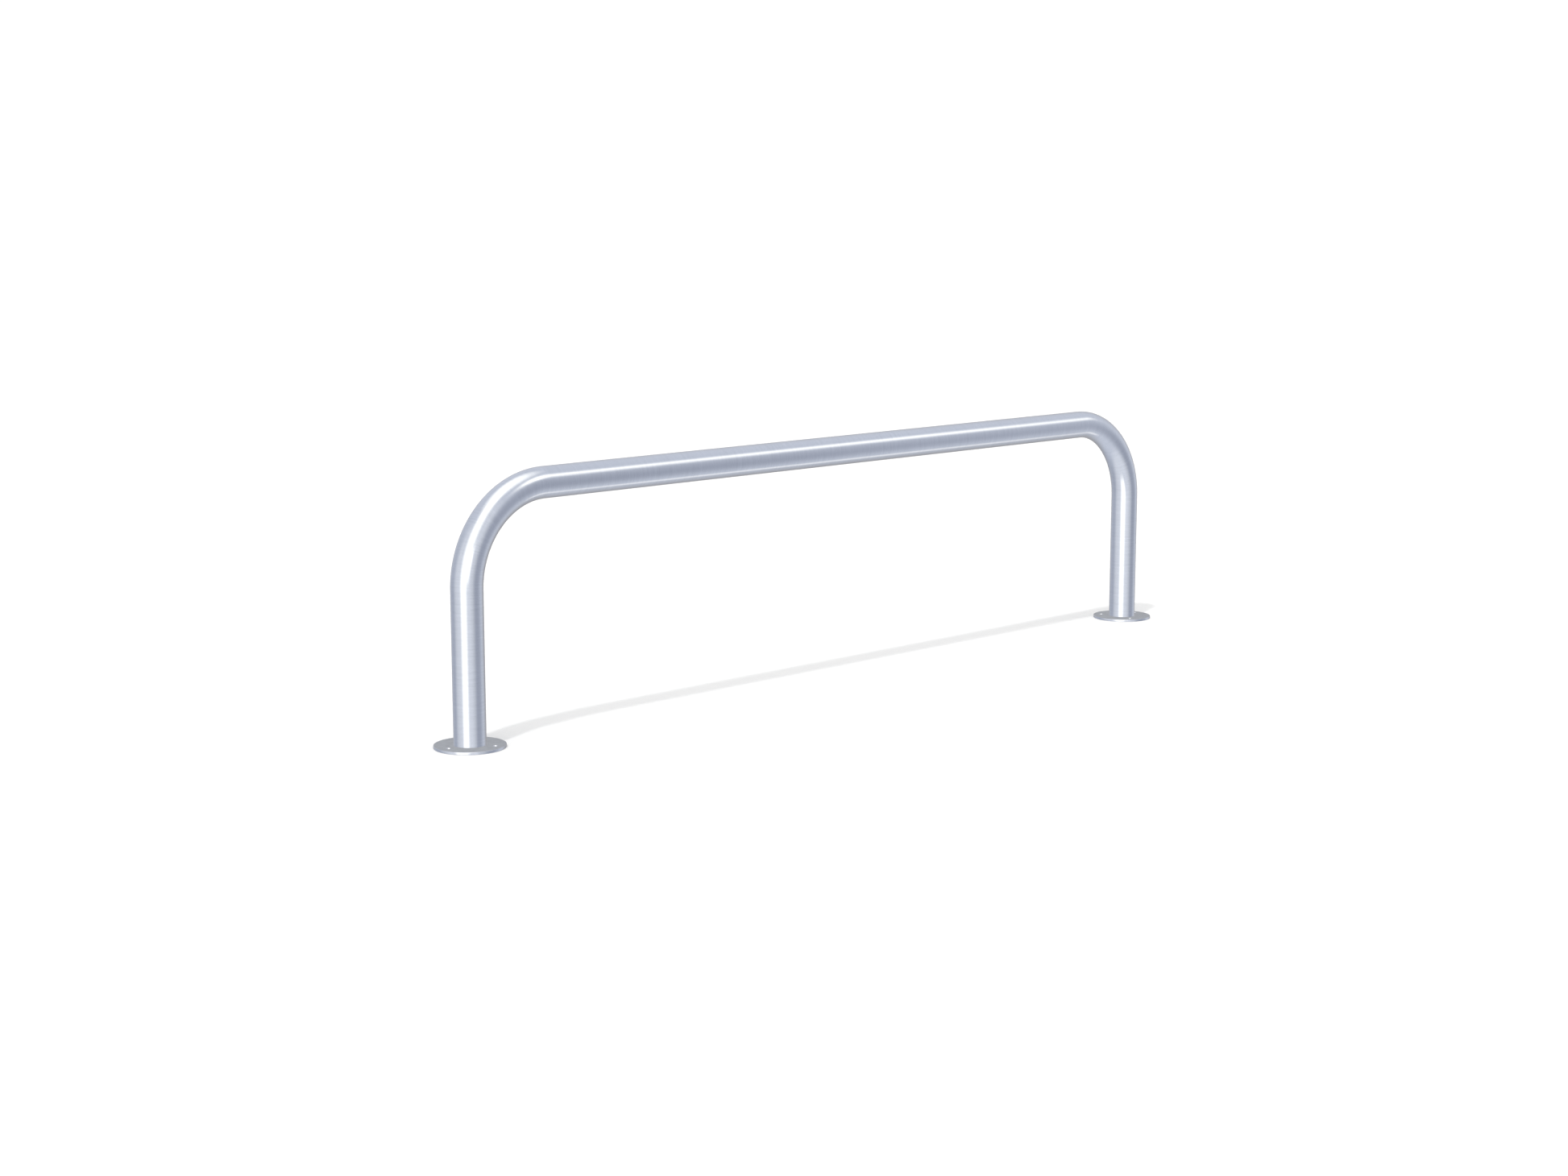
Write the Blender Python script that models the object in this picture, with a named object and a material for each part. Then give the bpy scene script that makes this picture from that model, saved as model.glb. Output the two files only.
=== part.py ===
"""Hoop barrier: one bent steel tube standing on two round base plates.

Each base plate is slipped over an end of the tube and welded from below, in a bevelled groove,
so nothing shows on top. Metres, +Z up. The origin is on the ground, midway between the two legs,
and the rail runs along X.
"""

import math

import bmesh
import bpy
from mathutils import Matrix, Vector

MM = 0.001

# Driving dimensions
HOOP_LENGTH = 2000 * MM  # over the outside of both legs
HOOP_HEIGHT = 500 * MM  # ground to the top of the rail
TUBE_DIAMETER = 60 * MM
TUBE_WALL = 2 * MM
BEND_RADIUS = 3 * TUBE_DIAMETER  # to the tube's centreline
PLATE_DIAMETER = 133 * MM
PLATE_THICKNESS = 5 * MM
PLATE_EDGE_BREAK = 0.5 * MM
BOLT_CIRCLE = 98 * MM
BOLT_HOLE = 9 * MM
BOLTS_PER_PLATE = 3
WELD_BEVEL = 3 * MM  # depth and width of the groove under each plate
TUBE_RECESS = 2 * MM  # the tube stops this far above the ground
GAP = 0.3 * MM  # air left between pieces that touch

# Worked out from those
TUBE_RADIUS = TUBE_DIAMETER / 2
TUBE_BORE = TUBE_RADIUS - TUBE_WALL
LEG_X = HOOP_LENGTH / 2 - TUBE_RADIUS
RAIL_Z = HOOP_HEIGHT - TUBE_RADIUS
BEND_Z = RAIL_Z - BEND_RADIUS
PLATE_BORE = TUBE_RADIUS + GAP
DRILL_DEPTH = 3 * PLATE_THICKNESS  # right through, and out past both faces

# Facets
TUBE_SIDES = 36
BEND_STEPS = 15
TURNED_STEPS = 48
HOLE_SIDES = 24

SMOOTH_BELOW = math.radians(30)


def clear_scene():
    for old in list(bpy.data.objects):
        bpy.data.objects.remove(old, do_unlink=True)


def add_object(name, bm, material, place=(0, 0, 0), turn=0.0):
    """Makes a mesh object from bm, standing at place and turned about +Z."""
    bmesh.ops.recalc_face_normals(bm, faces=bm.faces[:])
    mesh = bpy.data.meshes.new(name)
    bm.to_mesh(mesh)
    bm.free()
    mesh.shade_smooth()
    mesh.set_sharp_from_angle(angle=SMOOTH_BELOW)
    if material is not None:
        mesh.materials.append(material)
    made = bpy.data.objects.new(name, mesh)
    made.location = place
    made.rotation_euler = (0, 0, turn)
    bpy.context.scene.collection.objects.link(made)
    return made


def steel(name, colour, roughness):
    material = bpy.data.materials.new(name)
    material.use_nodes = True
    shader = material.node_tree.nodes["Principled BSDF"]
    shader.inputs["Base Color"].default_value = (*colour, 1)
    shader.inputs["Metallic"].default_value = 1
    shader.inputs["Roughness"].default_value = roughness
    return material


def of_type(geometry, kind):
    return [item for item in geometry if isinstance(item, kind)]


# The hoop


def tube_mouth(bm, centre):
    """The tube's flat end, a ring of faces across its wall, level at centre."""
    rims = []
    for radius in (TUBE_RADIUS, TUBE_BORE):
        rim = bmesh.ops.create_circle(
            bm, segments=TUBE_SIDES, radius=radius, matrix=Matrix.Translation(centre)
        )
        rims += rim["verts"]
    edges = {edge for corner in rims for edge in corner.link_edges}
    return bmesh.ops.bridge_loops(bm, edges=list(edges))["faces"]


def push_mouth(bm, mouth, move):
    """Draws the tube out from its open end by the matrix move, and returns the new end."""
    inside_wall = all(len(edge.link_faces) > 1 for face in mouth for edge in face.edges)
    grown = bmesh.ops.extrude_face_region(bm, geom=mouth)["geom"]
    bmesh.ops.transform(bm, matrix=move, verts=of_type(grown, bmesh.types.BMVert))
    if inside_wall:
        bmesh.ops.delete(bm, geom=mouth, context="FACES_ONLY")
    return of_type(grown, bmesh.types.BMFace)


def feed(bm, mouth, along):
    """A straight length of tube."""
    return push_mouth(bm, mouth, Matrix.Translation(along))


def bend(bm, mouth, centre):
    """A quarter turn about a Y axis through centre, as on a tube bender."""
    turn = Matrix.Rotation(math.radians(90) / BEND_STEPS, 4, "Y")
    step = Matrix.Translation(centre) @ turn @ Matrix.Translation(-centre)
    for _ in range(BEND_STEPS):
        mouth = push_mouth(bm, mouth, step)
    return mouth


def make_hoop_tube(material):
    """One tube: up the left leg, over the rail and down the right leg."""
    leg = BEND_Z - TUBE_RECESS
    rail = 2 * (LEG_X - BEND_RADIUS)
    bend_x = LEG_X - BEND_RADIUS
    bm = bmesh.new()
    mouth = tube_mouth(bm, Vector((-LEG_X, 0, TUBE_RECESS)))
    mouth = feed(bm, mouth, Vector((0, 0, leg)))
    mouth = bend(bm, mouth, Vector((-bend_x, 0, BEND_Z)))
    mouth = feed(bm, mouth, Vector((rail, 0, 0)))
    mouth = bend(bm, mouth, Vector((bend_x, 0, BEND_Z)))
    feed(bm, mouth, Vector((0, 0, -leg)))
    return add_object("hoop_tube", bm, material)


# The feet


def turned(profile):
    """A closed profile of (radius, height) points turned all the way round +Z."""
    bm = bmesh.new()
    corners = [bm.verts.new((radius, 0, height)) for radius, height in profile]
    edges = [bm.edges.new(pair) for pair in zip(corners, corners[1:] + corners[:1])]
    bmesh.ops.spin(
        bm,
        geom=corners + edges,
        cent=(0, 0, 0),
        axis=(0, 0, 1),
        angle=math.radians(360),
        steps=TURNED_STEPS,
        use_merge=True,
    )
    return bm


def plate_blank():
    """A disc with a bore for the tube, broken edges and a weld bevel round the bore below."""
    rim = PLATE_DIAMETER / 2
    edge = PLATE_EDGE_BREAK
    return turned(
        [
            (PLATE_BORE, PLATE_THICKNESS),
            (rim - edge, PLATE_THICKNESS),
            (rim, PLATE_THICKNESS - edge),
            (rim, edge),
            (rim - edge, 0),
            (PLATE_BORE + WELD_BEVEL, 0),
            (PLATE_BORE, WELD_BEVEL),
        ]
    )


def bolt_drill(name):
    """A helper that cuts the bolt holes, the first of them on the plate's own +X side."""
    bm = bmesh.new()
    for number in range(BOLTS_PER_PLATE):
        angle = math.radians(360) * number / BOLTS_PER_PLATE
        centre = Matrix.Rotation(angle, 4, "Z") @ Vector((BOLT_CIRCLE / 2, 0, PLATE_THICKNESS / 2))
        bmesh.ops.create_cone(
            bm,
            cap_ends=True,
            segments=HOLE_SIDES,
            radius1=BOLT_HOLE / 2,
            radius2=BOLT_HOLE / 2,
            depth=DRILL_DEPTH,
            matrix=Matrix.Translation(centre),
        )
    drill = add_object(name, bm, None)
    drill.hide_render = True
    drill.display_type = "WIRE"
    return drill


def make_base_plate(side, leg_x, turn, material):
    """A round plate with one bolt hole pointing outwards, away from the other leg."""
    plate = add_object(side + "_base_plate", plate_blank(), material, (leg_x, 0, 0), turn)
    drill = bolt_drill(side + "_bolt_drill")
    drill.parent = plate
    cut = plate.modifiers.new("bolt_holes", "BOOLEAN")
    cut.operation = "DIFFERENCE"
    cut.solver = "EXACT"
    cut.object = drill


def weld_profile():
    """The weld's section: it joins the tube's end to the bevel and is ground back off the floor."""
    top = TUBE_RECESS - GAP
    bevel_gap = GAP * math.sqrt(2)  # across a 45 degree face
    reach = PLATE_BORE + WELD_BEVEL - bevel_gap
    return [
        (TUBE_BORE, top),
        (reach - top, top),
        (reach - GAP, GAP),
        (TUBE_RADIUS, GAP),
        (TUBE_BORE, top / 2),
    ]


def make_foot_weld(side, leg_x, turn, material):
    add_object(side + "_foot_weld", turned(weld_profile()), material, (leg_x, 0, 0), turn)


def main():
    clear_scene()
    tube_steel = steel("brushed_tube_steel", (0.60, 0.63, 0.70), 0.28)
    plate_steel = steel("plate_steel", (0.36, 0.38, 0.41), 0.42)
    weld_steel = steel("weld_steel", (0.50, 0.50, 0.48), 0.45)
    make_hoop_tube(tube_steel)
    for side, leg_x, turn in (("left", -LEG_X, math.radians(180)), ("right", LEG_X, 0.0)):
        make_base_plate(side, leg_x, turn, plate_steel)
        make_foot_weld(side, leg_x, turn, weld_steel)


main()
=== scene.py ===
"""Looks of the hoop barrier: fine meshes, brushed steel, a pale studio and the camera.

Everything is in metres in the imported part's frame: the rail runs along X and the ground is Z = 0.
"""

import functools
import math
from collections import namedtuple

import bmesh
import bpy
from mathutils import Matrix, Vector


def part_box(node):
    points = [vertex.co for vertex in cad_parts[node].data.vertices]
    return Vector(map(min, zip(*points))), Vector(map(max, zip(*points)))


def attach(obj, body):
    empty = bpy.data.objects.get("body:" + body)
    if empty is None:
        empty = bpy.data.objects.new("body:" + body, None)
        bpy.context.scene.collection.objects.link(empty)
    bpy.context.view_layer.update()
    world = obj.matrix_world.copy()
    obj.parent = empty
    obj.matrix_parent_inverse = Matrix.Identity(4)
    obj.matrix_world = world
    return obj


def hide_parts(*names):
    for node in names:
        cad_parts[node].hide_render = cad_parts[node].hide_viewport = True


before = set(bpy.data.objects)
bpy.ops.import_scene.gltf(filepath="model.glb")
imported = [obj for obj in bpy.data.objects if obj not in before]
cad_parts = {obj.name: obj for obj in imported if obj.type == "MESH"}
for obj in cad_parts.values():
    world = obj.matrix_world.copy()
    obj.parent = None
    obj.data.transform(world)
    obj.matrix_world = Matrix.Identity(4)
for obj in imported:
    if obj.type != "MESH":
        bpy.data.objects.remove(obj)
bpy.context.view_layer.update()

MM = 0.001
QUARTER_TURN = math.radians(90)

# Sizes that the frame's boxes give
TUBE_LOW, TUBE_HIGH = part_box("hoop_tube")
TUBE_RADIUS = TUBE_HIGH.y
LEG_X = TUBE_HIGH.x - TUBE_RADIUS
RAIL_Z = TUBE_HIGH.z - TUBE_RADIUS
TUBE_END_Z = TUBE_LOW.z
PLATE_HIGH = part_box("right_base_plate")[1]
PLATE_RADIUS = PLATE_HIGH.y
PLATE_THICKNESS = PLATE_HIGH.z
WELD_LOW, WELD_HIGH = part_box("right_foot_weld")

# Sizes that the boxes don't show, as in the CAD part
TUBE_WALL = 2 * MM
BEND_RADIUS = 6 * TUBE_RADIUS
BOLT_CIRCLE_RADIUS = 49 * MM
BOLT_HOLE_RADIUS = 4.5 * MM
BOLTS_PER_PLATE = 3
FIT_GAP = 0.3 * MM
WELD_BEVEL = 3 * MM

# Finer shape than the CAD part has
TUBE_DEBURR = 0.25 * MM
BEND_FLATTENING = 0.5 * MM  # how far the outside of a bend is pulled in
RIM_ROUND = 0.3 * MM
HOLE_DEBURR = 0.15 * MM
BORE_DEBURR = 0.2 * MM
WELD_RIPPLE = 0.16 * MM
WELD_RIPPLES = 90
WELD_RIPPLE_BOW = 3  # how far a ripple's middle trails its ends, in radians of the ripple's wave

# Mesh density
TUBE_SIDES = 128
BEND_STEPS = 72
LEG_STEPS = 14
RAIL_STEPS = 60
RIM_SIDES = 240
BORE_SIDES = 144
HOLE_SIDES = 64
ROUND_STEPS = 4
WELD_SIDES = 1080
WELD_FACE_STEPS = 5
FLOOR_SIDES = 240
BACKDROP_SIDES = 64

# Edges sharper than this show as edges, in degrees
HOOP_SHARP = 30
PLATE_SHARP = 25
WELD_SHARP = 40

# Camera: its line of sight, in degrees, and the point on the barrier's own plane that it looks at
CAMERA_BEARING = 44.95  # from +Y towards +X
CAMERA_DIP = 9.265
CAMERA_AIM = Vector((-0.1625, 0, 0.2003))
CAMERA_DISTANCE = 4.984
CAMERA_LENS = 56.15  # mm, on a 36 mm sensor
CAMERA_SENSOR = 36

# Studio
STUDIO_RADIUS = 25
FLOOR_WHITE = 0.745
FLOOR_DROP = 0.2 * MM  # keeps the floor clear of the plates' undersides
BACKDROP_WHITE = 1.05
SUN_FROM = Vector((-0.51, -0.188, 1))
SUN_STRENGTH = 0.9
SUN_ANGLE = 2.6  # degrees
ROOM_BELOW, ROOM_ABOVE = 0.91, 0.87  # brightness of the room under and over the horizon
ROOM_TURN = (-0.01, 0.28)  # heights of the direction between which the one turns into the other
ROOM_TINT = (0.97, 1.0, 1.08)
LIGHT_TINT = (1.04, 0.97, 0.78)
BACK_TINT = (0.92, 1.0, 1.16)  # the flag behind the barrier takes more blue than red

# Lights in degrees as seen from the barrier: bearing from +Y towards +X, height above the horizon,
# half sizes up to the middle of a box's soft edge, and half that edge. A spot's soft edge lies
# wholly outside its radius. A flag is a spot below zero, which takes light away from the room.
Box = namedtuple("Box", "bearing height turn half_width half_height edge brightness")
Spot = namedtuple("Spot", "bearing height radius edge brightness")

TALL_KEY = Box(-119, 23, turn=2, half_width=24, half_height=58, edge=10.5, brightness=0.74)
LOW_KEY = Box(-148, 8, turn=4, half_width=9, half_height=8, edge=8.5, brightness=1.3)
SIDE_BOX = Box(140, 40, turn=3, half_width=10.5, half_height=5.5, edge=12.5, brightness=2.2)
SIDE_TAIL = Box(117, 31, turn=20, half_width=6, half_height=7, edge=7.5, brightness=0.95)
FLOOR_GLINT = Box(103, -43.5, turn=12, half_width=5, half_height=7.5, edge=3.5, brightness=0.42)
CEILING = Spot(0, 90, radius=13.5, edge=25, brightness=0.9)
KEY_GLOW = Spot(-120, -5, radius=60, edge=25, brightness=0.16)
LEFT_FLAG = Spot(-20, -24, radius=1, edge=72, brightness=-0.32)
RIGHT_FLAG = Spot(150, -11, radius=6, edge=50, brightness=-0.37)
BACK_FLAG = Spot(56, -17, radius=4, edge=58, brightness=-0.44)

SOFT_BOXES = (TALL_KEY, LOW_KEY, SIDE_BOX, SIDE_TAIL, FLOOR_GLINT)
SOFT_SPOTS = (CEILING, KEY_GLOW)
SIDE_FLAGS = (LEFT_FLAG, RIGHT_FLAG)


def grid_faces(bm, rings, wraps=True):
    """Joins rings of vertices of one length by quads, and the last to the first if it wraps."""
    pairs = list(zip(rings, rings[1:]))
    if wraps:
        pairs.append((rings[-1], rings[0]))
    faces = []
    for ring, following in pairs:
        for side in range(len(ring)):
            after = (side + 1) % len(ring)
            corners = (ring[side], ring[after], following[after], following[side])
            faces.append(bm.faces.new(corners))
    return faces


def finished_object(name, bm, materials, sharp_above):
    """A shown piece on the one body, smooth but for edges sharper than the degrees given."""
    bmesh.ops.recalc_face_normals(bm, faces=bm.faces[:])
    mesh = bpy.data.meshes.new(name)
    bm.to_mesh(mesh)
    bm.free()
    mesh.shade_smooth()
    mesh.set_sharp_from_angle(angle=math.radians(sharp_above))
    for material in materials:
        mesh.materials.append(material)
    made = bpy.data.objects.new(name, mesh)
    made.visible_glossy = False  # the steel mirrors the studio, not itself
    bpy.context.scene.collection.objects.link(made)
    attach(made, "root")
    return made


# The hoop


def steps(start, end, count):
    """count + 1 even values from start to end."""
    return [start + (end - start) * step / count for step in range(count + 1)]


def tube_stations():
    """(distance along, centre, way out of the bend, share of the flattening) down the tube's line."""
    leg = RAIL_Z - BEND_RADIUS - TUBE_END_Z
    bend = BEND_RADIUS * QUARTER_TURN
    half_rail = LEG_X - BEND_RADIUS
    left, up, right = Vector((-1, 0, 0)), Vector((0, 0, 1)), Vector((1, 0, 0))
    made = []
    for run in steps(0, leg, LEG_STEPS)[:-1]:
        made.append((run, Vector((-LEG_X, 0, TUBE_END_Z + run)), left, 0))
    for turn in steps(0, QUARTER_TURN, BEND_STEPS):
        out = left * math.cos(turn) + up * math.sin(turn)
        centre = Vector((-half_rail, 0, RAIL_Z - BEND_RADIUS)) + out * BEND_RADIUS
        made.append((leg + turn * BEND_RADIUS, centre, out, math.sin(2 * turn)))
    for x in steps(-half_rail, half_rail, RAIL_STEPS)[1:-1]:
        made.append((leg + bend + x + half_rail, Vector((x, 0, RAIL_Z)), up, 0))
    for turn in steps(0, QUARTER_TURN, BEND_STEPS):
        out = up * math.cos(turn) + right * math.sin(turn)
        centre = Vector((half_rail, 0, RAIL_Z - BEND_RADIUS)) + out * BEND_RADIUS
        along = leg + bend + 2 * half_rail + turn * BEND_RADIUS
        made.append((along, centre, out, math.sin(2 * turn)))
    for run in steps(0, leg, LEG_STEPS)[1:]:
        along = leg + 2 * bend + 2 * half_rail + run
        made.append((along, Vector((LEG_X, 0, RAIL_Z - BEND_RADIUS - run)), right, 0))
    return made


def deburred(stations):
    """Adds a station just above each end, where the edge's chamfer stops."""
    lift = Vector((0, 0, TUBE_DEBURR))
    first, *between, last = stations
    after_first = (first[0] + TUBE_DEBURR, first[1] + lift, *first[2:])
    before_last = (last[0] - TUBE_DEBURR, last[1] + lift, *last[2:])
    return [first, after_first, *between, before_last, last]


def tube_ring(bm, station, radius, stock):
    """A ring round the tube from the inside of its bends on. Notes where each vertex was on the stock."""
    along, centre, out, share = station
    ring = []
    for side in range(TUBE_SIDES):
        angle = 2 * math.pi * side / TUBE_SIDES + math.pi
        outwards = radius * math.cos(angle)
        if outwards > 0:
            outwards -= BEND_FLATTENING * share * (outwards / radius) ** 2
        vertex = bm.verts.new(centre + out * outwards + Vector((0, radius * math.sin(angle), 0)))
        vertex[stock] = Vector((along, radius * math.cos(angle), radius * math.sin(angle)))
        ring.append(vertex)
    return ring


def make_hoop(skin, inside):
    """The bent tube as one skin: along its outside, over the end and back along its bore."""
    bm = bmesh.new()
    stock = bm.verts.layers.float_vector.new("stock")
    grain = bm.loops.layers.uv.new("grain")
    stations = deburred(tube_stations())
    bore = TUBE_RADIUS - TUBE_WALL
    last = len(stations) - 1
    rings = []
    for number, station in enumerate(stations):
        chamfer = TUBE_DEBURR if number in (0, last) else 0
        rings.append(tube_ring(bm, station, TUBE_RADIUS - chamfer, stock))
    for number, station in reversed(list(enumerate(stations))):
        chamfer = TUBE_DEBURR if number in (0, last) else 0
        rings.append(tube_ring(bm, station, bore + chamfer, stock))
    faces = grid_faces(bm, rings)
    for number, face in enumerate(faces):
        column = number % TUBE_SIDES
        face.material_index = int(number // TUBE_SIDES > last)
        for loop, step in zip(face.loops, (0, 1, 1, 0)):
            loop[grain].uv = (loop.vert[stock].x, (column + step) / TUBE_SIDES)
    hoop = finished_object("brushed_hoop", bm, (skin, inside), HOOP_SHARP)
    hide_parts("hoop_tube")


# The feet


def circle(bm, centre, radius, height, sides):
    """A ring of vertices round a point of the plate."""
    ring = []
    for side in range(sides):
        angle = 2 * math.pi * side / sides
        place = (radius * math.cos(angle), radius * math.sin(angle), height)
        ring.append(bm.verts.new(centre + Vector(place)))
    return ring


def wall(bm, centre, profile, sides, material):
    """A turned wall down a profile of (radius, height) points. Returns its top and bottom rings."""
    rings = [circle(bm, centre, radius, height, sides) for radius, height in profile]
    for face in grid_faces(bm, rings, wraps=False):
        face.material_index = material
    return rings[0], rings[-1]


def flat_face(bm, rings):
    """Fills the plane between an outer ring and the rings of the openings in it."""
    edges = []
    for ring in rings:
        for side, vertex in enumerate(ring):
            edges.append(bm.edges.get((vertex, ring[side - 1])))
    bmesh.ops.triangle_fill(bm, edges=edges, use_beauty=True, use_dissolve=False)


def rim_profile():
    """The plate's edge with its corners rounded."""
    middle = PLATE_RADIUS - RIM_ROUND
    turns = steps(0, QUARTER_TURN, ROUND_STEPS)
    reach = [(middle + RIM_ROUND * math.sin(turn), RIM_ROUND * (1 - math.cos(turn))) for turn in turns]
    top = [(radius, PLATE_THICKNESS - drop) for radius, drop in reach]
    return top + list(reversed(reach))


def bore_profile():
    """The bore for the tube, deburred above and bevelled below for the weld."""
    bore = TUBE_RADIUS + FIT_GAP
    return [
        (bore + BORE_DEBURR, PLATE_THICKNESS),
        (bore, PLATE_THICKNESS - BORE_DEBURR),
        (bore, WELD_BEVEL),
        (bore + WELD_BEVEL, 0),
    ]


def hole_profile():
    """A drilled bolt hole, deburred above and below."""
    return [
        (BOLT_HOLE_RADIUS + HOLE_DEBURR, PLATE_THICKNESS),
        (BOLT_HOLE_RADIUS, PLATE_THICKNESS - HOLE_DEBURR),
        (BOLT_HOLE_RADIUS, BORE_DEBURR),
        (BOLT_HOLE_RADIUS + BORE_DEBURR, 0),
    ]


def make_plate(side, direction, face_steel, rim_steel, opening_steel):
    """A base plate whose first bolt hole points outwards, along direction times +X."""
    middle = Vector((direction * LEG_X, 0, 0))
    bm = bmesh.new()
    tops, bottoms = [], []
    walls = [(middle, rim_profile(), RIM_SIDES, 1), (middle, bore_profile(), BORE_SIDES, 2)]
    for number in range(BOLTS_PER_PLATE):
        turn = Matrix.Rotation(2 * math.pi * number / BOLTS_PER_PLATE, 3, "Z")
        centre = middle + turn @ Vector((direction * BOLT_CIRCLE_RADIUS, 0, 0))
        walls.append((centre, hole_profile(), HOLE_SIDES, 2))
    for centre, profile, sides, material in walls:
        top, bottom = wall(bm, centre, profile, sides, material)
        tops.append(top)
        bottoms.append(bottom)
    flat_face(bm, tops)
    flat_face(bm, bottoms)
    plate = finished_object(side + "_plate", bm, (face_steel, rim_steel, opening_steel), PLATE_SHARP)
    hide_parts(side + "_base_plate")


def weld_section(angle):
    """The bead's section at one place round the ring, with its ripples on the lower side."""
    bore = WELD_HIGH.y
    top = WELD_HIGH.z
    low = WELD_LOW.z
    inner = TUBE_RADIUS - TUBE_WALL
    outer_top = bore + low - top
    points = [(inner, top), (outer_top, top), (bore, low)]
    for radius in steps(bore - FIT_GAP, TUBE_RADIUS, WELD_FACE_STEPS):
        across = (radius - TUBE_RADIUS) / (bore - TUBE_RADIUS)
        phase = WELD_RIPPLES * angle - WELD_RIPPLE_BOW * math.sin(math.pi * across)
        points.append((radius, low + WELD_RIPPLE * (0.5 + 0.5 * math.sin(phase))))
    points.append((inner, (top + low) / 2))
    return points


def make_weld(side, direction, material):
    """The ring of weld under a plate."""
    middle = Vector((direction * LEG_X, 0, 0))
    bm = bmesh.new()
    rings = []
    for number in range(WELD_SIDES):
        angle = 2 * math.pi * number / WELD_SIDES
        across = Vector((math.cos(angle), math.sin(angle), 0))
        ring = [
            bm.verts.new(middle + across * radius + Vector((0, 0, height)))
            for radius, height in weld_section(angle)
        ]
        rings.append(ring)
    grid_faces(bm, rings)
    weld = finished_object(side + "_weld_bead", bm, (material,), WELD_SHARP)
    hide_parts(side + "_foot_weld")


# Materials


class Shader:
    """A new metal material, and a short way to add nodes to it."""

    def __init__(self, name):
        self.material = bpy.data.materials.new(name)
        self.material.use_nodes = True
        self.tree = self.material.node_tree
        self.metal = self.tree.nodes["Principled BSDF"]
        self.metal.inputs["Metallic"].default_value = 1

    def add(self, kind, inputs=None, **settings):
        """A node with its settings made, and each input linked to a socket or set to a value."""
        made = self.tree.nodes.new("ShaderNode" + kind)
        for name, value in settings.items():
            setattr(made, name, value)
        for name, value in (inputs or {}).items():
            self.set(made.inputs[name], value)
        return made

    def set(self, socket, value):
        if isinstance(value, bpy.types.NodeSocket):
            self.tree.links.new(value, socket)
        else:
            socket.default_value = value

    def noise(self, place, stretch, detail, roughness=0.5):
        """Noise whose grain is 1 / stretch metres along each axis. Its output is round 0.5."""
        scaled = self.add("VectorMath", {0: place, 1: stretch}, operation="MULTIPLY")
        settings = {"Scale": 1.0, "Detail": detail, "Roughness": roughness}
        return self.add("TexNoise", {"Vector": scaled.outputs[0], **settings}).outputs["Fac"]

    def spread(self, value, low, high, start=0.3, end=0.7):
        """The value, mostly between start and end, turned into low to high."""
        ends = {"From Min": start, "From Max": end, "To Min": low, "To Max": high}
        return self.add("MapRange", {"Value": value, **ends}).outputs["Result"]

    def sum(self, *weighted):
        """The sum of (value, weight) pairs."""
        total = None
        for value, weight in weighted:
            part = self.add("Math", {0: value, 1: weight}, operation="MULTIPLY").outputs[0]
            if total is None:
                total = part
            else:
                total = self.add("Math", {0: total, 1: part}, operation="ADD").outputs[0]
        return total

    def colours(self, value, *stops):
        """A colour for the value, from stops of (place, colour)."""
        ramp = self.add("ValToRGB", {"Fac": value})
        elements = ramp.color_ramp.elements
        while len(elements) < len(stops):
            elements.new(0.5)
        for element, (place, colour) in zip(elements, stops):
            element.position = place
            element.color = (*colour, 1)
        return ramp.outputs["Color"]

    def bump(self, height, distance):
        made = self.add("Bump", {"Height": height, "Distance": distance, "Strength": 1.0})
        self.set(self.metal.inputs["Normal"], made.outputs["Normal"])


def brushed_tube():
    """Steel tube brushed round its girth: rings of fine scratches, and a glint drawn out along it."""
    shader = Shader("brushed_tube_steel")
    stock = shader.add("Attribute", attribute_name="stock").outputs["Vector"]
    bands = shader.noise(stock, (110, 9, 9), 2)
    lines = shader.noise(stock, (800, 22, 22), 3, 0.6)
    scratches = shader.noise(stock, (3400, 40, 40), 3, 0.7)
    cloud = shader.noise(stock, (3.5, 16, 16), 4)
    tone = shader.sum((bands, 0.12), (lines, 0.28), (scratches, 0.5), (cloud, 0.1))
    colour = shader.colours(tone, (0.3, (0.52, 0.545, 0.6)), (0.7, (0.66, 0.69, 0.755)))
    rough = shader.sum((lines, 0.3), (scratches, 0.4), (cloud, 0.3))
    shader.set(shader.metal.inputs["Base Color"], colour)
    shader.set(shader.metal.inputs["Roughness"], shader.spread(rough, 0.095, 0.14))
    shader.metal.inputs["Anisotropic"].default_value = 0.5
    tangent = shader.add("Tangent", direction_type="UV_MAP", uv_map="grain")
    shader.set(shader.metal.inputs["Tangent"], tangent.outputs["Tangent"])
    shader.bump(shader.sum((lines, 0.35), (scratches, 0.65)), 0.008 * MM)
    return shader.material


def shaded_bore_steel():
    """The tube's bore as it left the mill, dull, with faint draw marks along it; its colour is painted
    near black as the shade inside the tube.
    """
    shader = Shader("tube_bore_steel")
    stock = shader.add("Attribute", attribute_name="stock").outputs["Vector"]
    draw = shader.noise(stock, (8, 900, 900), 3)
    scale = shader.noise(stock, (60, 60, 60), 4)
    tone = shader.sum((draw, 0.4), (scale, 0.6))
    # painted shade: the bore's steel is near black to stand for the shade inside the tube
    colour = shader.colours(tone, (0.3, (0.05, 0.05, 0.055)), (0.7, (0.11, 0.11, 0.115)))
    shader.set(shader.metal.inputs["Base Color"], colour)
    shader.set(shader.metal.inputs["Roughness"], shader.spread(tone, 0.38, 0.6))
    shader.bump(tone, 0.05 * MM)
    return shader.material


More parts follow.
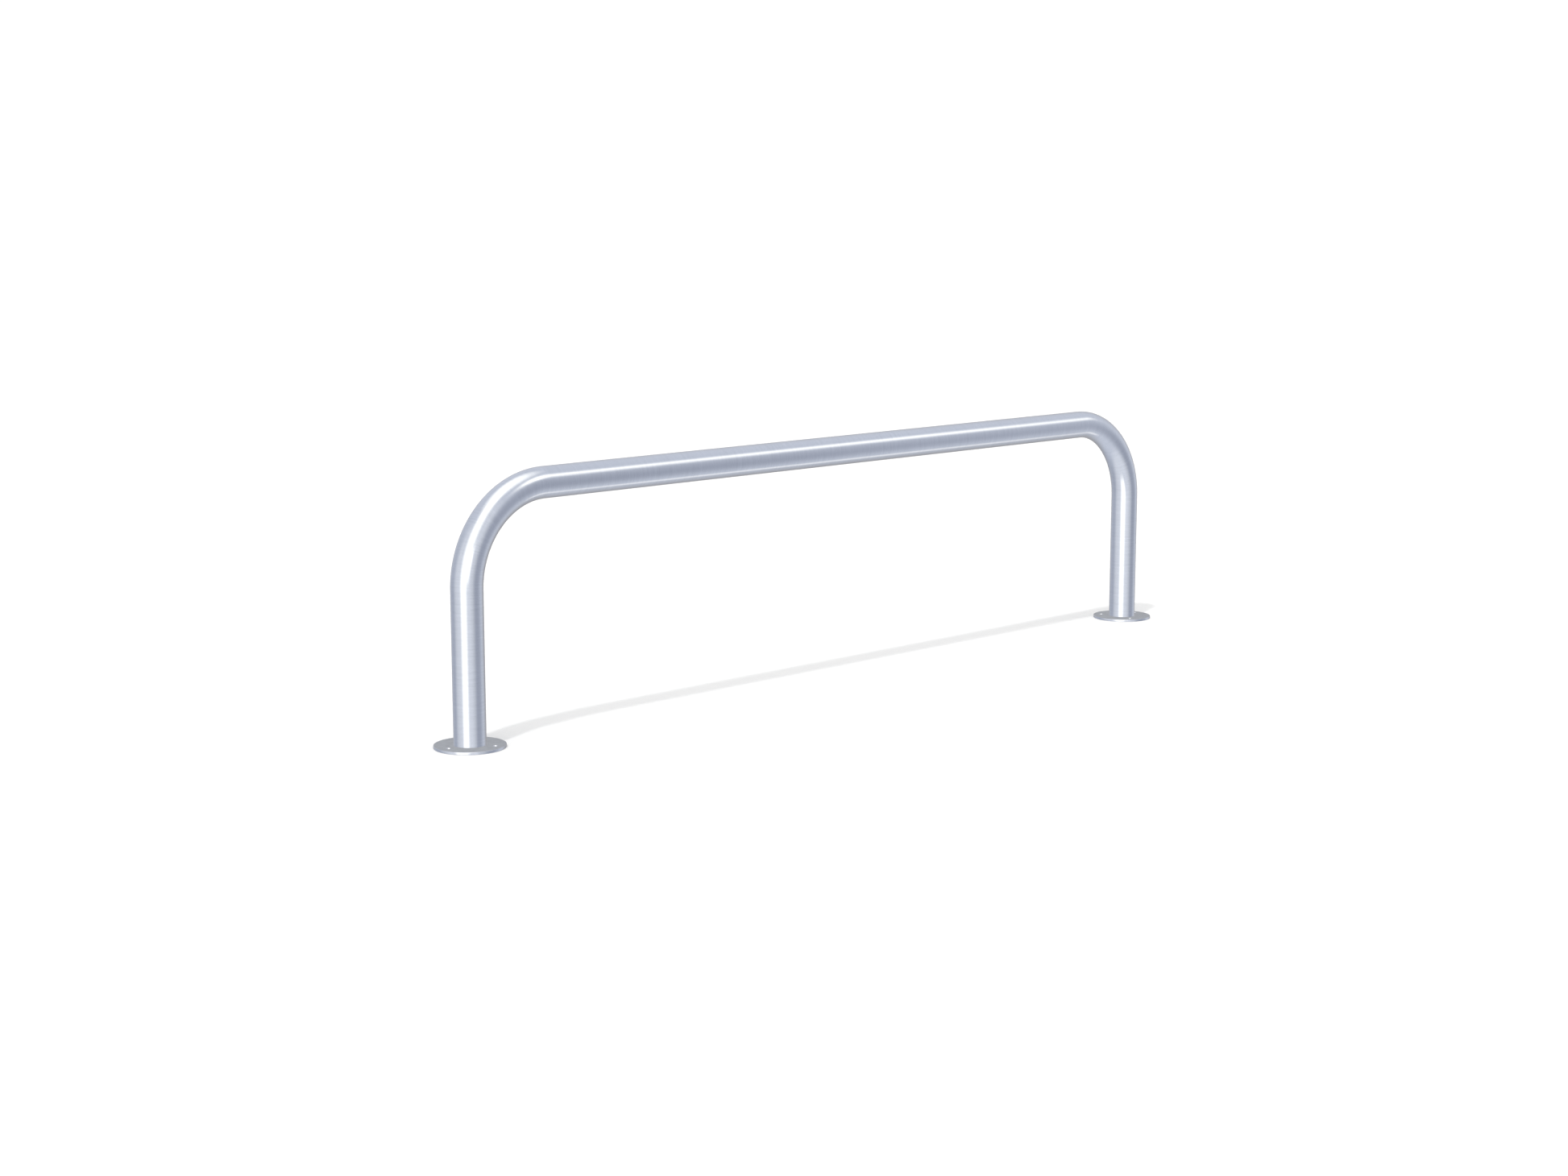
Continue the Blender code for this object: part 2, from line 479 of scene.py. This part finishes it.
def sanded_and_shaded_plate():
    """A plate's faces: sheet steel with a fine orbital sanding, a little mottled, and set darker than the
    rim's steel as painted shade on the top face.
    """
    shader = Shader("plate_face_steel")
    place = shader.add("TexCoord").outputs["Object"]
    mottle = shader.noise(place, (90, 90, 90), 4, 0.6)
    sanding = shader.noise(place, (900, 900, 900), 3, 0.7)
    grain = shader.noise(place, (260, 1900, 400), 2)
    tone = shader.sum((mottle, 0.45), (sanding, 0.3), (grain, 0.25))
    # partly painted shade: the faces' steel is darker than the rim's and the tube's to stand for the shade
    # on the plate's top; the mottle and sanding are the steel's own
    colour = shader.colours(tone, (0.32, (0.343, 0.353, 0.368)), (0.68, (0.483, 0.499, 0.519)))
    shader.set(shader.metal.inputs["Base Color"], colour)
    shader.set(shader.metal.inputs["Roughness"], shader.spread(tone, 0.36, 0.5))
    shader.bump(shader.sum((sanding, 0.6), (grain, 0.4)), 0.03 * MM)
    return shader.material


def turned_rim():
    """A plate's edge: turned bright, with fine tool marks round it."""
    shader = Shader("plate_rim_steel")
    place = shader.add("TexCoord").outputs["Object"]
    marks = shader.noise(place, (30, 30, 5200), 3)
    cloud = shader.noise(place, (120, 120, 120), 3)
    tone = shader.sum((marks, 0.5), (cloud, 0.5))
    colour = shader.colours(tone, (0.3, (0.53, 0.555, 0.61)), (0.7, (0.65, 0.675, 0.735)))
    shader.set(shader.metal.inputs["Base Color"], colour)
    shader.set(shader.metal.inputs["Roughness"], shader.spread(tone, 0.1, 0.16))
    shader.bump(marks, 0.02 * MM)
    return shader.material


def cut_steel():
    """The drilled and deburred metal of the openings."""
    shader = Shader("cut_steel")
    place = shader.add("TexCoord").outputs["Object"]
    marks = shader.noise(place, (60, 60, 4200), 2)
    colour = shader.colours(marks, (0.3, (0.68, 0.7, 0.73)), (0.7, (0.78, 0.8, 0.83)))
    shader.set(shader.metal.inputs["Base Color"], colour)
    shader.set(shader.metal.inputs["Roughness"], shader.spread(marks, 0.12, 0.2))
    shader.bump(marks, 0.02 * MM)
    return shader.material


def weld_metal():
    """Weld metal with a straw to blue heat tint."""
    shader = Shader("weld_bead_steel")
    place = shader.add("TexCoord").outputs["Object"]
    tint = shader.noise(place, (160, 160, 160), 3)
    slag = shader.noise(place, (1500, 1500, 1500), 3)
    tone = shader.sum((tint, 0.8), (slag, 0.2))
    straw, grey, blue = (0.5, 0.43, 0.32), (0.48, 0.48, 0.47), (0.33, 0.37, 0.47)
    colour = shader.colours(tone, (0.35, straw), (0.5, grey), (0.65, blue))
    shader.set(shader.metal.inputs["Base Color"], colour)
    shader.set(shader.metal.inputs["Roughness"], shader.spread(tone, 0.32, 0.52))
    shader.bump(slag, 0.04 * MM)
    return shader.material


# Studio


def stage_object(name, bm, material):
    mesh = bpy.data.meshes.new(name)
    bm.to_mesh(mesh)
    bm.free()
    mesh.shade_smooth()
    mesh.materials.append(material)
    made = bpy.data.objects.new(name, mesh)
    bpy.context.scene.collection.objects.link(made)
    return made


def make_floor():
    """A wide pale floor. The steel mirrors the studio's soft lights in its place."""
    material = bpy.data.materials.new("pale_floor")
    material.use_nodes = True
    paint = material.node_tree.nodes["Principled BSDF"]
    paint.inputs["Base Color"].default_value = (FLOOR_WHITE, FLOOR_WHITE, FLOOR_WHITE, 1)
    paint.inputs["Roughness"].default_value = 1
    paint.inputs["Specular IOR Level"].default_value = 0
    bm = bmesh.new()
    bmesh.ops.create_circle(bm, cap_ends=True, segments=FLOOR_SIDES, radius=STUDIO_RADIUS)
    bmesh.ops.translate(bm, verts=bm.verts[:], vec=(0, 0, -FLOOR_DROP))
    floor = stage_object("floor", bm, material)
    floor.visible_glossy = False


def make_backdrop():
    """A white dome over the floor, which only the camera sees."""
    material = bpy.data.materials.new("white_backdrop")
    material.use_nodes = True
    nodes = material.node_tree.nodes
    nodes.remove(nodes["Principled BSDF"])
    glow = nodes.new("ShaderNodeEmission")
    glow.inputs["Strength"].default_value = BACKDROP_WHITE
    material.node_tree.links.new(glow.outputs[0], nodes["Material Output"].inputs["Surface"])
    bm = bmesh.new()
    rows = BACKDROP_SIDES // 2
    bmesh.ops.create_uvsphere(bm, u_segments=BACKDROP_SIDES, v_segments=rows, radius=STUDIO_RADIUS)
    backdrop = stage_object("backdrop", bm, material)
    backdrop.visible_glossy = False
    backdrop.visible_diffuse = False
    backdrop.visible_shadow = False


def axes(bearing, height, turn=0):
    """Unit vectors towards a place in the surroundings, across it and up it, from degrees."""
    place = Matrix.Rotation(-math.radians(bearing), 3, "Z") @ Matrix.Rotation(math.radians(height), 3, "X")
    place = place @ Matrix.Rotation(-math.radians(turn), 3, "Y")
    return place @ Vector((0, 1, 0)), place @ Vector((1, 0, 0)), place @ Vector((0, 0, 1))


class Surroundings:
    """The world's nodes. Brightnesses add up as a chain of sockets."""

    def __init__(self, world):
        self.nodes, self.links = world.node_tree.nodes, world.node_tree.links
        self.towards = self.nodes.new("ShaderNodeTexCoord").outputs["Generated"]

    def worked_out(self, operation, *values):
        made = self.nodes.new("ShaderNodeMath")
        made.operation = operation
        for socket, value in zip(made.inputs, values):
            self.links.new(value, socket)
        return made.outputs[0]

    def along(self, axis):
        """How far the seen direction points along an axis."""
        made = self.nodes.new("ShaderNodeVectorMath")
        made.operation = "DOT_PRODUCT"
        self.links.new(self.towards, made.inputs[0])
        made.inputs[1].default_value = axis
        return made.outputs["Value"]

    def tinted(self, brightness, tint, under):
        """The brightness as a colour, added to the one under it."""
        made = self.nodes.new("ShaderNodeVectorMath")
        made.operation = "MULTIPLY_ADD"
        made.inputs[1].default_value = tint
        self.links.new(brightness, made.inputs[0])
        self.links.new(under, made.inputs[2])
        return made.outputs[0]

    def ramp(self, value, start, end, low, high):
        """The value turned smoothly from low at the start into high at the end."""
        made = self.nodes.new("ShaderNodeMapRange")
        made.interpolation_type = "SMOOTHSTEP"
        self.links.new(value, made.inputs["Value"])
        for name, number in (("From Min", start), ("From Max", end), ("To Min", low), ("To Max", high)):
            made.inputs[name].default_value = number
        return made.outputs["Result"]

    def box(self, light):
        forward, across, up = axes(light.bearing, light.height, light.turn)
        sides = []
        for axis, half, peak in ((across, light.half_width, light.brightness), (up, light.half_height, 1)):
            aside = self.worked_out("ABSOLUTE", self.along(axis))
            away = self.worked_out("ARCTAN2", aside, self.along(forward))
            outside, inside = math.radians(half + light.edge), math.radians(half - light.edge)
            sides.append(self.ramp(away, outside, inside, 0, peak))
        return self.worked_out("MULTIPLY", *sides)

    def spot(self, light):
        away = self.worked_out("ARCCOSINE", self.along(axes(light.bearing, light.height)[0]))
        outside = math.radians(light.radius + light.edge)
        return self.ramp(away, outside, math.radians(light.radius), 0, light.brightness)

    def total(self, brightnesses):
        return functools.reduce(lambda first, second: self.worked_out("ADD", first, second), brightnesses)


def make_surroundings():
    """The studio as the steel sees it: an even cool room, warmer soft lights and flags."""
    world = bpy.data.worlds.new("studio")
    world.use_nodes = True
    bpy.context.scene.world = world
    studio = Surroundings(world)
    height = studio.along(Vector((0, 0, 1)))
    walls = studio.ramp(height, *ROOM_TURN, ROOM_BELOW, ROOM_ABOVE)
    flags = studio.total([studio.spot(flag) for flag in SIDE_FLAGS])
    room = studio.tinted(walls, ROOM_TINT, flags)
    room = studio.tinted(studio.spot(BACK_FLAG), BACK_TINT, room)
    boxes = [studio.box(light) for light in SOFT_BOXES]
    spots = [studio.spot(light) for light in SOFT_SPOTS]
    seen = studio.tinted(studio.total(boxes + spots), LIGHT_TINT, room)
    studio.links.new(seen, studio.nodes["Background"].inputs["Color"])


def make_sun():
    """A small high light, which casts the soft thin shadow behind the hoop."""
    light = bpy.data.lights.new("sun", "SUN")
    light.energy = SUN_STRENGTH
    light.angle = math.radians(SUN_ANGLE)
    sun = bpy.data.objects.new("sun", light)
    sun.rotation_mode = "QUATERNION"
    sun.rotation_quaternion = SUN_FROM.to_track_quat("Z", "Y")
    sun.visible_glossy = False
    bpy.context.scene.collection.objects.link(sun)


def make_camera():
    data = bpy.data.cameras.new("camera")
    data.lens = CAMERA_LENS
    data.sensor_width = CAMERA_SENSOR
    camera = bpy.data.objects.new("camera", data)
    sight = axes(CAMERA_BEARING, -CAMERA_DIP)[0]
    camera.location = CAMERA_AIM - sight * CAMERA_DISTANCE
    camera.rotation_euler = (math.radians(90 - CAMERA_DIP), 0, -math.radians(CAMERA_BEARING))
    bpy.context.scene.collection.objects.link(camera)
    bpy.context.scene.camera = camera


make_hoop(brushed_tube(), shaded_bore_steel())
plate_steels = (sanded_and_shaded_plate(), turned_rim(), cut_steel())
weld_steel = weld_metal()
for side, outwards in (("left", -1), ("right", 1)):
    make_plate(side, outwards, *plate_steels)
    make_weld(side, outwards, weld_steel)
make_floor()
make_backdrop()
make_surroundings()
make_sun()
make_camera()
bpy.context.scene.view_settings.view_transform = "Standard"
